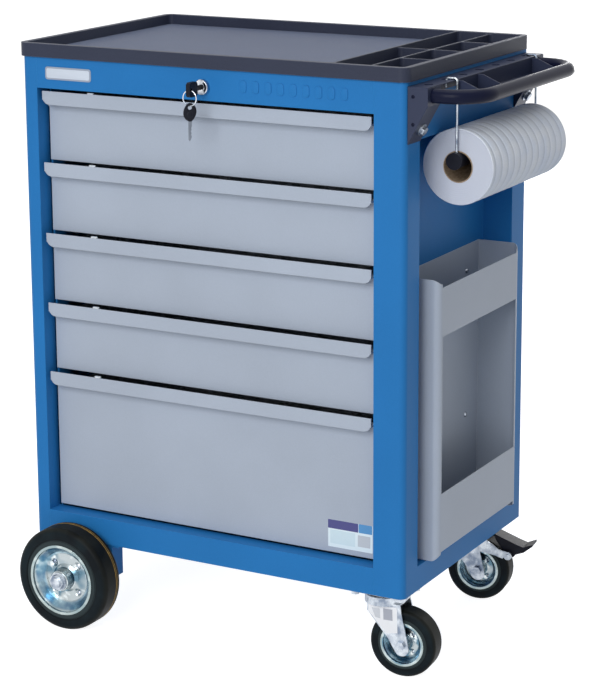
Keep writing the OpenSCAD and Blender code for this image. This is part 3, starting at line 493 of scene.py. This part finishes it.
MATERIALS = {make.__name__: make() for make in (
    blue_paint, grey_paint, black_paint, lit_black_paint, inner_grey, tray_black, mat_rubber,
    black_plastic, zinc, steel, chrome, paper, cardboard, rubber_white, mould_line)}


def dress_nodes():
    """Gives every CAD node the material of its slot in the record, or one made for it."""
    slots = {part["node"]: part["material_slot"] for part in frame["record"]["subparts"]}
    # Painted light: the brackets and shelf carry the handle's black paint, given here as a
    # lighter copy.
    lit_black = MATERIALS["lit_black_paint"]
    special = {"handle_brackets": lit_black, "holder_shelf": lit_black}
    for wheel in WHEELS:
        radius, bead = wheel_sizes(wheel)
        special[f"{wheel}_tyre"] = tyre_rubber(wheel, radius, bead)
        special[f"{wheel}_rim"] = rim_zinc(wheel, bead)
    for name, node in frame["nodes"].items():
        node.data.materials.clear()
        node.data.materials.append(special.get(name) or MATERIALS[slots[name]])


# ---- Mesh tools ----

def bridged(bm, rings):
    """Adds the faces from each ring of vertices to the next; a ring may be one point."""
    for low, high in zip(rings, rings[1:]):
        for k in range(max(len(low), len(high))):
            corners = [low[k % len(low)], low[(k + 1) % len(low)],
                       high[(k + 1) % len(high)], high[k % len(high)]]
            face = list(dict.fromkeys(corners))
            if len(face) > 2:
                bm.faces.new(face)
    return bm


def turned(profile, steps=40):
    """Surface turned about Z from (radius, height) points; radius 0 closes it."""
    bm = bmesh.new()
    angles = [2 * math.pi * k / steps for k in range(steps)]
    rings = []
    for radius, height in profile:
        around = [0.0] if radius < 1e-7 else angles
        rings.append([bm.verts.new((radius * math.cos(a), radius * math.sin(a), height))
                      for a in around])
    return bridged(bm, rings)


def outline(width, height, radius, steps=6):
    """Corner points of a rounded rectangle about the origin."""
    points = []
    for turn, (sx, sy) in enumerate(((1, 1), (-1, 1), (-1, -1), (1, -1))):
        for k in range(steps + 1):
            angle = math.pi / 2 * (turn + k / steps)
            points.append((sx * (width / 2 - radius) + radius * math.cos(angle),
                           sy * (height / 2 - radius) + radius * math.sin(angle)))
    return points


def slab(points, thickness, bevel):
    """Plate from an outline, its underside at Z = 0 and its upper edge bevelled."""
    bm = bmesh.new()
    base = bm.faces.new([bm.verts.new((x, y, 0)) for x, y in points])
    top = bmesh.ops.extrude_face_region(bm, geom=[base])["geom"]
    raised = [v for v in top if isinstance(v, bmesh.types.BMVert)]
    bmesh.ops.translate(bm, verts=raised, vec=(0, 0, thickness))
    rim = [e for e in bm.edges if all(v in raised for v in e.verts)]
    if bevel:
        bmesh.ops.bevel(bm, geom=rim, offset=bevel, segments=3, affect="EDGES", profile=0.5)
    bmesh.ops.recalc_face_normals(bm, faces=bm.faces)
    return bm


def placed(bm, at, facing=UP, upright=None):
    """Turns the mesh so that its Z faces a direction, and moves it to a place."""
    z = Vector(facing).normalized()
    y = Vector(upright or (TO_BACK if abs(z.z) > 0.9 else UP))
    y = (y - z * y.dot(z)).normalized()
    x = y.cross(z)
    turn = Matrix((x, y, z)).transposed().to_4x4()
    bm.transform(Matrix.Translation(at) @ turn)
    return bm


def joined(parts):
    """One mesh from several."""
    whole = bmesh.new()
    for part in parts:
        copy = bpy.data.meshes.new("part")
        part.to_mesh(copy)
        part.free()
        whole.from_mesh(copy)
        bpy.data.meshes.remove(copy)
    return whole


def pierced(points, holes, thickness, bevel):
    """Plate like slab, with round holes given as (x, y, radius)."""
    bm = bmesh.new()
    loops = [points] + [[(x + r * math.cos(a), y + r * math.sin(a))
                         for a in (2 * math.pi * k / 20 for k in range(20))]
                        for x, y, r in holes]
    for loop in loops:
        corners = [bm.verts.new((x, y, 0)) for x, y in loop]
        for first, second in zip(corners, corners[1:] + corners[:1]):
            bm.edges.new((first, second))
    bmesh.ops.triangle_fill(bm, edges=bm.edges[:], use_beauty=True)
    top = bmesh.ops.extrude_face_region(bm, geom=bm.faces[:])["geom"]
    raised = [v for v in top if isinstance(v, bmesh.types.BMVert)]
    bmesh.ops.translate(bm, verts=raised, vec=(0, 0, thickness))
    bmesh.ops.recalc_face_normals(bm, faces=bm.faces)
    rims = [e for e in bm.edges if e.calc_face_angle(0) > math.radians(60)]
    if bevel:
        bmesh.ops.bevel(bm, geom=rims, offset=bevel, segments=2, affect="EDGES", profile=0.5)
    return bm


def tube(path, radius, steps=14):
    """Round bar along a path that lies in one plane of X and Z."""
    bm = bmesh.new()
    rings = []
    for k, point in enumerate(path):
        along = (path[min(k + 1, len(path) - 1)] - path[max(k - 1, 0)]).normalized()
        across = along.cross(TO_BACK)
        rings.append([bm.verts.new(point + radius * (math.cos(a) * TO_BACK
                                                     + math.sin(a) * across))
                      for a in (2 * math.pi * s / steps for s in range(steps))])
    for end in (rings[0], rings[-1]):
        bm.faces.new(end)
    return bridged(bm, rings)


def surface(node, start, toward):
    """Point and normal where a line from start first meets a CAD node."""
    mesh = frame["nodes"][node].data
    tree = BVHTree.FromPolygons([v.co for v in mesh.vertices],
                                [p.vertices for p in mesh.polygons])
    point, normal, _, _ = tree.ray_cast(start, toward)
    return point, normal


def piece(name, bm, body, material, smooth=40):
    """Makes an object of the mesh, which rides on a CAD body."""
    mesh = bpy.data.meshes.new(name)
    bmesh.ops.recalc_face_normals(bm, faces=bm.faces)
    bm.to_mesh(mesh)
    bm.free()
    mesh.materials.append(material)
    thing = bpy.data.objects.new(name, mesh)
    bpy.context.scene.collection.objects.link(thing)
    mesh.shade_smooth()
    mesh.set_sharp_from_angle(angle=math.radians(smooth))
    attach(thing, body)
    return thing


# ---- Fasteners ----

def dome(radius, height, degrees):
    """Points of a domed profile at the given angles above its rim."""
    return [(radius * math.cos(a), height * math.sin(a)) for a in map(math.radians, degrees)]


def rivet(radius, height):
    """Blind rivet's domed head with its mandrel hole."""
    hole, bottom = 0.32 * radius, 0.45 * height
    return turned([(radius, 0)] + dome(radius, height, (0, 25, 50, 70))
                  + [(hole, height), (hole, bottom), (0, bottom)], 20)


def button_screw(radius, height):
    """Round-headed screw with a hexagonal socket."""
    across, bottom = 0.42 * radius, 0.35 * height
    head = turned([(radius, 0)] + dome(radius, height, (0, 30, 55)) + [(across, height)], 24)
    socket = turned([(across, height), (across, bottom), (0, bottom)], 6)
    return joined([head, socket])


# ---- Cabinet details ----

def blank_plate():
    """Satin plate without lettering, at the left of the fascia."""
    low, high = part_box("front_fascia")
    width, height, thick, rim = 80 * MM, 19 * MM, 0.9 * MM, 2.5 * MM
    at = Vector((low.x + 56 * MM, low.y, (low.z + high.z) / 2))
    plate = slab(outline(width, height, 4 * MM), thick, 0.4 * MM)
    piece("blank_plate", placed(plate, at, TO_FRONT), "cabinet",
          satin("plate_rim", srgb(150, 160, 176)))
    field = slab(outline(width - 2 * rim, height - 2 * rim, 2.5 * MM), 0.35 * MM, 0.15 * MM)
    piece("plate_field", placed(field, at + thick * TO_FRONT, TO_FRONT), "cabinet",
          satin("plate_field", srgb(198, 207, 220)))


def pressed_ribs():
    """Row of plain pressed ribs, at the right of the fascia."""
    low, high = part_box("front_fascia")
    count, pitch, inset = 9, 20 * MM, 45 * MM
    z = (low.z + high.z) / 2 + 1 * MM
    ribs = []
    for k in range(count):
        rib = slab(outline(11 * MM, 18 * MM, 5 * MM), 1.1 * MM, 0.9 * MM)
        x = high.x - inset - (count - 1 - k) * pitch
        ribs.append(placed(rib, (x, low.y, z), TO_FRONT))
    piece("pressed_ribs", joined(ribs), "cabinet", MATERIALS["blue_paint"])


def spread(low, high, margin, count):
    """Heights spread evenly from low to high, with a margin at both ends."""
    return [low + margin + k * (high - low - 2 * margin) / (count - 1) for k in range(count)]


def back_rivets():
    """Blind rivets that hold the side panels' returns to the back panel."""
    low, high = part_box("back_panel")
    heads = []
    for node, x in (("side_panel_left", low.x + 12 * MM),
                    ("side_panel_right", high.x - 12 * MM)):
        for z in spread(low.z, high.z, 40 * MM, 6):
            at = surface(node, Vector((x, high.y + OUTSIDE, z)), TO_FRONT)[0]
            heads.append(placed(rivet(3.6 * MM, 1.7 * MM), at, TO_BACK))
    piece("back_rivets", joined(heads), "cabinet", MATERIALS["blue_paint"])


def spot_welds():
    """Painted-over spot welds where the slide uprights meet the left side panel."""
    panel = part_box("side_panel_left")
    low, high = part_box("slide_uprights")
    marks = []
    for y in (low.y + 12 * MM, high.y - 12 * MM):
        for z in spread(low.z, high.z, 30 * MM, 9):
            weld = turned([(3.4 * MM, 0), (3.0 * MM, 0.22 * MM), (2.4 * MM, 0.26 * MM),
                           (1.8 * MM, 0.10 * MM), (0, 0.06 * MM)], 20)
            marks.append(placed(weld, (panel[0].x, y, z), -TO_RIGHT))
    piece("spot_welds", joined(marks), "cabinet", MATERIALS["blue_paint"])


# ---- Drawer details ----

def pull_buffer(n):
    """White rubber buffer on top of a drawer's pull."""
    low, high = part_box(f"drawer_{n}_front")
    buffer = slab(outline(11 * MM, 5 * MM, 2.4 * MM), 1.7 * MM, 0.8 * MM)
    at = (low.x + 83 * MM, low.y + 4 * MM, high.z)
    piece(f"buffer_{n}", placed(buffer, at), f"drawer_{n}", MATERIALS["rubber_white"])


def drawer_label():
    """Blank two-tone label at the lower right of the deep drawer."""
    low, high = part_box("drawer_5_front")
    width, height = 72 * MM, 41 * MM
    pull_depth = 18 * MM
    x = high.x - 6 * MM - width / 2
    y = low.y + pull_depth
    z = low.z + 8 * MM + height / 2
    parts = (       # name, width, height, place across and up, lift in mm, colour
        ("label_base", width, height, 0, 0, 0.00, srgb(222, 238, 246)),
        ("label_band", width * 0.68, height * 0.32, -width * 0.16, height * 0.34, 0.12,
         srgb(44, 46, 120)),
        ("label_block", width * 0.30, height * 0.32, width * 0.34, height * 0.34, 0.12,
         srgb(60, 138, 196)),
        ("label_field", width * 0.56, height * 0.50, -width * 0.17, -height * 0.12, 0.12,
         srgb(204, 226, 236)),
        ("label_patch", width * 0.28, height * 0.42, width * 0.31, -height * 0.12, 0.12,
         srgb(186, 194, 204)),
    )
    for name, wide, tall, dx, dz, lift, colour in parts:
        sheet = slab(outline(wide, tall, 0.8 * MM, 3), 0.14 * MM, 0)
        at = (x + dx, y - lift * MM, z + dz)
        piece(name, placed(sheet, at, TO_FRONT), "drawer_5", printed(name, colour))


# ---- Paper roll and its wires ----

def paper_roll():
    """Roll of embossed paper: soft bands, a loose outer edge and layered ends."""
    low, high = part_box("paper_roll")
    centre = Vector(((low.x + high.x) / 2, low.y, (low.z + high.z) / 2))
    radius = (high.z - low.z) / 2
    length = high.y - low.y
    core = (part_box("roll_core")[1].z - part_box("roll_core")[0].z) / 2
    steps, rows = 128, 180
    seam = math.radians(120)
    random.seed(7)
    lumps = [(random.uniform(2, 9), random.uniform(20, 90), random.uniform(0, 6.28))
             for _ in range(10)]
    bm = bmesh.new()

    def sink(angle, y):
        """Depth of the paper's surface below the roll's full radius."""
        phase = (y / PAPER_BAND) % 1
        groove = math.exp(-((phase - 0.5) / 0.09) ** 2)
        swell = 0.5 - 0.5 * math.cos(2 * math.pi * phase)
        puckers = sum(math.sin(round(turns) * angle + waves * y + start)
                      for turns, waves, start in lumps) / len(lumps)
        unwound = ((angle - seam) % (2 * math.pi)) / (2 * math.pi)
        return (0.12 + 1.0 * groove + 0.5 * swell + 0.22 * (puckers + 0.6)
                + 0.55 * unwound) * MM

    def ring(at_radius, y, follow):
        """Circle of vertices, which may follow the paper's surface."""
        verts = []
        for k in range(steps):
            angle = 2 * math.pi * k / steps
            r = at_radius - (sink(angle, y) if follow else 0)
            verts.append(bm.verts.new((r * math.cos(angle), y, r * math.sin(angle))))
        return verts

    def layer(k):
        """Radius of a wound layer at the roll's end, and how deep it lies."""
        return (core + (radius - 1.6 * MM - core) * k / layers,
                (0.5 + 0.2 * math.sin(k * 2.4)) * MM)

    layers, rounding, mouth = 26, 1.2 * MM, 0.6 * MM
    rings = [ring(core, mouth, False)]
    for r, depth in map(layer, range(1, layers)):
        rings.append(ring(r, depth, False))
    rings.append(ring(radius - rounding, 0, True))
    for k in range(rows + 1):
        rings.append(ring(radius, rounding + (length - 2 * rounding) * k / rows, True))
    rings.append(ring(radius - rounding, length, True))
    for r, depth in map(layer, range(layers - 1, 0, -1)):
        rings.append(ring(r, length - depth, False))
    rings.append(ring(core, length - mouth, False))
    rings.append(rings[0])
    bridged(bm, rings).transform(Matrix.Translation(centre))
    roll = piece("roll_paper", bm, "roll", MATERIALS["paper"], 60)
    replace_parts(roll, "paper_roll")


def roll_wires():
    """Thin wires from the shelf's holes, over the strip's edge, down to the spindle."""
    low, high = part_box("roll_wires")
    cad_radius, cad_lift = 2.2 * MM, 2.5 * MM
    inner, outer = low.x + cad_radius, high.x - cad_radius
    strip_top = high.z - cad_radius - (outer - inner) / 2 - cad_lift
    radius, bend, tail = 1.6 * MM, 4 * MM, 11 * MM
    level = strip_top + 1.9 * MM
    ends = {"roll_wire_front": low.y + cad_radius, "roll_wire_back": high.y - cad_radius}
    steps = 8
    for name, y in ends.items():
        path = [Vector((inner, y, strip_top - tail))]
        for x, start in ((inner + bend, 180), (outer - bend, 90)):
            for k in range(steps + 1):
                angle = math.radians(start - 90 * k / steps)
                path.append(Vector((x + bend * math.cos(angle), y,
                                    level - bend + bend * math.sin(angle))))
        path.append(Vector((outer, y, low.z)))
        wire = piece(name, tube(path, radius), "cabinet", MATERIALS["zinc"])
        if name == "roll_wire_front":
            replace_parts(wire, "roll_wires")


# ---- Handle and rack ----

def rack_screws():
    """Screws that hold the rack's back sheet to the recess."""
    low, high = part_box("side_rack")
    back = low.x + 1.2 * MM
    heads = []
    for y in (low.y + 45 * MM, high.y - 45 * MM):
        for z in (low.z + 150 * MM, high.z - 40 * MM):
            heads.append(placed(button_screw(4.2 * MM, 2.4 * MM), (back, y, z), TO_RIGHT))
    piece("rack_screws", joined(heads), "cabinet", MATERIALS["zinc"])


def bracket_rivets():
    """Rivets that hold the brackets' cheeks to the cabinet."""
    low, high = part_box("handle_brackets")
    heads = []
    for side, y in ((TO_FRONT, low.y), (TO_BACK, high.y)):
        for down in (12 * MM, 50 * MM):
            at = (low.x + 8 * MM, y, high.z - down)
            heads.append(placed(rivet(2.6 * MM, 1.2 * MM), at, side))
    piece("bracket_rivets", joined(heads), "cabinet", MATERIALS["black_paint"])


# ---- Running gear ----

def rim_rivets(wheel, body):
    """Four rivets in the dish of a rim, on both faces."""
    at, axis = axle(f"{wheel}_spin")
    radius = wheel_sizes(wheel)[1]
    flat = axis.cross(UP).normalized()
    heads = []
    for side in (-1, 1):
        for k in range(4):
            angle = math.radians(45 + 90 * k)
            spoke = math.cos(angle) * flat + math.sin(angle) * UP
            start = at + 0.56 * radius * spoke + OUTSIDE * side * axis
            point, normal = surface(f"{wheel}_rim", start, -side * axis)
            head = rivet(0.075 * radius, 0.045 * radius)
            heads.append(placed(head, point - 0.1 * MM * normal, normal, UP))
    piece(f"{wheel}_rivets", joined(heads), body, MATERIALS["zinc"])


def tread_lines(wheel, side):
    """Two thin lines round a big tyre's tread, on one side of its middle."""
    low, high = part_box(f"{wheel}_tyre")
    centre = (low + high) / 2
    radius = (high.z - low.z) / 2
    foot, crest = radius - 0.6 * MM, radius + 0.06 * MM
    lines = []
    for offset, half in ((8.0 * MM, 0.7 * MM), (11.0 * MM, 0.45 * MM)):
        line = turned([(foot, -half), (crest, -0.8 * half),
                       (crest, 0.8 * half), (foot, half)], 120)
        lines.append(placed(line, (centre.x, centre.y + side * offset, centre.z), TO_BACK))
    piece(f"{wheel}_lines", joined(lines), wheel, MATERIALS["mould_line"])


def caster_label():
    """Blank sticker with two pale blocks on the front caster's outer leg."""
    axis = axle("caster_front_spin")[1]
    post = axle("caster_front_swivel")[0]
    forward = Vector((axis.y, -axis.x, 0)).normalized()
    out, crown, ahead = -axis, post.z, 20 * MM
    start = Vector((post.x, post.y, crown - 30 * MM)) + ahead * forward + OUTSIDE * out
    on_leg = surface("caster_front_fork", start, axis)[0]
    origin = on_leg - ahead * forward - Vector((0, 0, on_leg.z))
    sheets = (      # name, colour, lift in mm, corners in mm ahead of the post and below it
        ("caster_label", srgb(243, 245, 249), 0.04,
         [(-18, -4.5), (26, -4.5), (27, -43), (9.5, -45), (-18, -15)]),
        ("caster_label_bars", srgb(168, 172, 184), 0.16,
         [(5, -8), (19, -8), (19.5, -25), (5.5, -25)]),
        ("caster_label_field", srgb(206, 210, 217), 0.16,
         [(-13, -9), (0, -9), (0.5, -24), (-7, -23)]),
    )
    for name, colour, lift, corners in sheets:
        sheet = slab([(along * MM, crown + down * MM) for along, down in corners],
                     0.12 * MM, 0)
        at = origin + lift * MM * out
        piece(name, placed(sheet, at, out, UP), "caster_front", printed(name, colour))


# ---- Keys ----

def spare_key():
    """Second key on the ring: a rounded plastic bow on a thin cut blade."""
    low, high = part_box("spare_key")
    eye = Vector(((low.x + high.x) / 2, (low.y + high.y) / 2, high.z - 7 * MM))
    turn, steps = math.radians(42), 36
    facing = Vector((math.sin(turn), -math.cos(turn), 0))
    bow_thick, blade_thick = 3.2 * MM, 1.4 * MM
    bow = []
    for k in range(steps):
        angle = 2 * math.pi * k / steps
        wide = 8.8 + 0.9 * math.sin(2 * angle + 0.6)
        bow.append((wide * math.cos(angle) * MM, (-6.4 + 13.2 * math.sin(angle)) * MM))
    plate = pierced(bow, [(0, 0, 3 * MM)], bow_thick, 0.6 * MM)
    badge = slab(outline(7.5 * MM, 8 * MM, 3.2 * MM), 0.5 * MM, 0.4 * MM)
    badge.transform(Matrix.Translation((0, -9.6 * MM, bow_thick)))
    head = placed(joined([plate, badge]), eye - bow_thick / 2 * facing, facing, UP)
    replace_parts(piece("spare_key_bow", head, "keys", MATERIALS["black_plastic"]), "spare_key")
    teeth = [(2.4, -18), (2.4, -27), (1.3, -29), (2.2, -31), (1.0, -33.5), (2.0, -36),
             (1.1, -38.5), (2.1, -41), (0.9, -44.5), (-0.6, -48), (-2.4, -45.5), (-2.4, -18)]
    blade = slab([(x * MM, z * MM) for x, z in teeth], blade_thick, 0.2 * MM)
    blade = placed(blade, eye - blade_thick / 2 * facing, facing, UP)
    piece("spare_key_blade", blade, "keys", MATERIALS["steel"])


# ---- Studio ----

def seen_directly(tree):
    """1 for camera, glossy and transmission rays, and 0 for the rays that light things."""
    path = tree.nodes.new("ShaderNodeLightPath")
    seen = path.outputs["Is Camera Ray"]
    for ray in ("Is Glossy Ray", "Is Transmission Ray"):
        either = tree.nodes.new("ShaderNodeMath")
        either.operation = "MAXIMUM"
        tree.links.new(seen, either.inputs[0])
        tree.links.new(path.outputs[ray], either.inputs[1])
        seen = either.outputs[0]
    return seen


def floor():
    """Pale floor, white to the camera except where the cart shades it."""
    mesh = bpy.data.meshes.new("floor")
    half = 40
    mesh.from_pydata([(-half, -half, 0), (half, -half, 0), (half, half, 0), (-half, half, 0)],
                     [], [(0, 1, 2, 3)])
    ground = bpy.data.objects.new("floor", mesh)
    bpy.context.scene.collection.objects.link(ground)
    material = bpy.data.materials.new("floor")
    material.use_nodes = True
    tree = material.node_tree
    shader = tree.nodes["Principled BSDF"]
    shader.inputs["Base Color"].default_value = (0.62, 0.63, 0.65, 1)
    shader.inputs["Roughness"].default_value = 0.9
    shader.inputs["Emission Color"].default_value = (1, 1, 1, 1)
    seen = seen_directly(tree)
    glow = tree.nodes.new("ShaderNodeMath")
    glow.operation = "MULTIPLY"
    glow.inputs[1].default_value = FLOOR_GLOW
    tree.links.new(seen, glow.inputs[0])
    tree.links.new(glow.outputs[0], shader.inputs["Emission Strength"])
    mesh.materials.append(material)


def world():
    """White surroundings that light the cart at a lower, even level."""
    sky = bpy.data.worlds.new("studio")
    bpy.context.scene.world = sky
    sky.use_nodes = True
    tree = sky.node_tree
    background = tree.nodes["Background"]
    background.inputs["Color"].default_value = (1, 1, 1, 1)
    level = tree.nodes.new("ShaderNodeMapRange")
    level.inputs["To Min"].default_value = SKY_FILL
    level.inputs["To Max"].default_value = 1.0
    tree.links.new(seen_directly(tree), level.inputs["Value"])
    tree.links.new(level.outputs["Result"], background.inputs["Strength"])


def soft_light(name, at, target, width, height, power):
    """Rectangular lamp at a place, turned to the target."""
    light = bpy.data.lights.new(name, "AREA")
    light.shape = "RECTANGLE"
    light.size = width
    light.size_y = height
    light.energy = power
    lamp = bpy.data.objects.new(name, light)
    bpy.context.scene.collection.objects.link(lamp)
    lamp.location = at
    lamp.rotation_euler = (Vector(target) - Vector(at)).to_track_quat("-Z", "Y").to_euler()


def lights():
    """A broad key from the front, and weaker lamps behind the cart and above it."""
    middle = (CAD_BOX[0] + CAD_BOX[1]) / 2
    for name, at, width, height, power in (
            ("key", (0.35, -3.95, 2.3), 2.4, 2.2, 102),
            ("back_fill", (-0.4, 3.9, 0.8), 1.8, 1.2, 44),
            ("top", (0.2, 0.2, 3.4), 2.0, 2.0, 26)):
        soft_light(name, at, middle, width, height, power)


# The camera looks at AIM from DISTANCE away; its frame is cut from a wider picture,
# so that the optical centre lies above the middle of the frame.
AZIMUTH = math.radians(28.478)
ELEVATION = math.radians(12.584)
ROLL = math.radians(-0.249)
AIM = Vector((-0.0106, 0.0424, 0.5457))
DISTANCE = 3.4541
LENS = 119.953
SHIFT = (-0.02056, -0.1188)


def camera():
    """Camera at the photograph's viewing angle."""
    data = bpy.data.cameras.new("camera")
    data.lens = LENS
    data.shift_x, data.shift_y = SHIFT
    eye = bpy.data.objects.new("camera", data)
    bpy.context.scene.collection.objects.link(eye)
    right = Vector((math.cos(AZIMUTH), math.sin(AZIMUTH), 0))
    forward = Vector((-math.sin(AZIMUTH) * math.cos(ELEVATION),
                      math.cos(AZIMUTH) * math.cos(ELEVATION), -math.sin(ELEVATION)))
    above = right.cross(forward)
    x = math.cos(ROLL) * right + math.sin(ROLL) * above
    y = math.cos(ROLL) * above - math.sin(ROLL) * right
    turn = Matrix((x, y, -forward)).transposed().to_4x4()
    eye.matrix_world = Matrix.Translation(AIM - DISTANCE * forward) @ turn
    bpy.context.scene.camera = eye


# ---- Assembly ----

dress_nodes()
blank_plate()
pressed_ribs()
back_rivets()
spot_welds()
for number in DRAWERS:
    pull_buffer(number)
drawer_label()
paper_roll()
roll_wires()
rack_screws()
bracket_rivets()
spare_key()
for name in WHEELS:
    rim_rivets(name, name if name.startswith("wheel") else f"{name}_wheel")
tread_lines("wheel_front", 1)
tread_lines("wheel_rear", -1)
caster_label()
floor()
world()
lights()
camera()
bpy.context.scene.view_settings.view_transform = "Standard"
